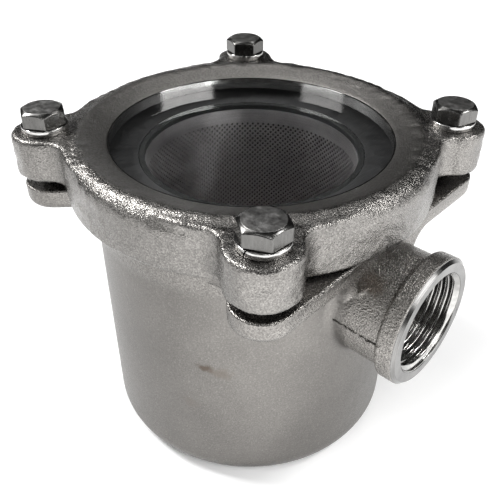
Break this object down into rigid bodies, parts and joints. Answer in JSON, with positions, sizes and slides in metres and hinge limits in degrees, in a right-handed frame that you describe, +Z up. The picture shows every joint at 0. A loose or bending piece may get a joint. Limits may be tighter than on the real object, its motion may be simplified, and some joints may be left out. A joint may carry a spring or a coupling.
{
  "type": "sea water strainer",
  "caption": "Cast stainless raw water strainer: round cup with opposed threaded ports, lift-out perforated basket and a bolted ring that clamps a clear sight glass.",
  "frame": {"origin": "centre of the cup's flat underside, on the cup's axis", "axes": "+Z up along the cup's axis towards the sight glass, +X along the inlet port outwards, -X along the outlet port, clamp screws at 45 degrees between"},
  "size_m": [0.147, 0.121, 0.1193],
  "materials": {
    "cast_steel": "blasted stainless casting with a fine sparkling grain",
    "cast_ring": "blasted stainless casting, coarser grain on the rounded shoulder",
    "clear_glass": "clear, faint green at the edge",
    "dark_gasket": "matt dark gasket",
    "black_rubber": "smooth black rubber",
    "basket_steel": "satin sheet steel",
    "mesh_steel": "perforated satin sheet steel",
    "bolt_steel": "drawn and polished stainless steel",
    "washer_steel": "bright stainless steel"
  },
  "bodies": {
    "root": {"body": "cast_steel", "cover_ring": "cast_ring", "sight_glass": "clear_glass", "glass_gasket": "dark_gasket", "basket_seal": "black_rubber", "basket_rim": "basket_steel", "basket_screen": "mesh_steel", "basket_floor": "basket_steel", "hex_bolt_1": "bolt_steel", "hex_bolt_2": "bolt_steel", "hex_bolt_3": "bolt_steel", "hex_bolt_4": "bolt_steel", "spring_washer_1": "washer_steel", "spring_washer_2": "washer_steel", "spring_washer_3": "washer_steel", "spring_washer_4": "washer_steel"}
  },
  "joints": []
}
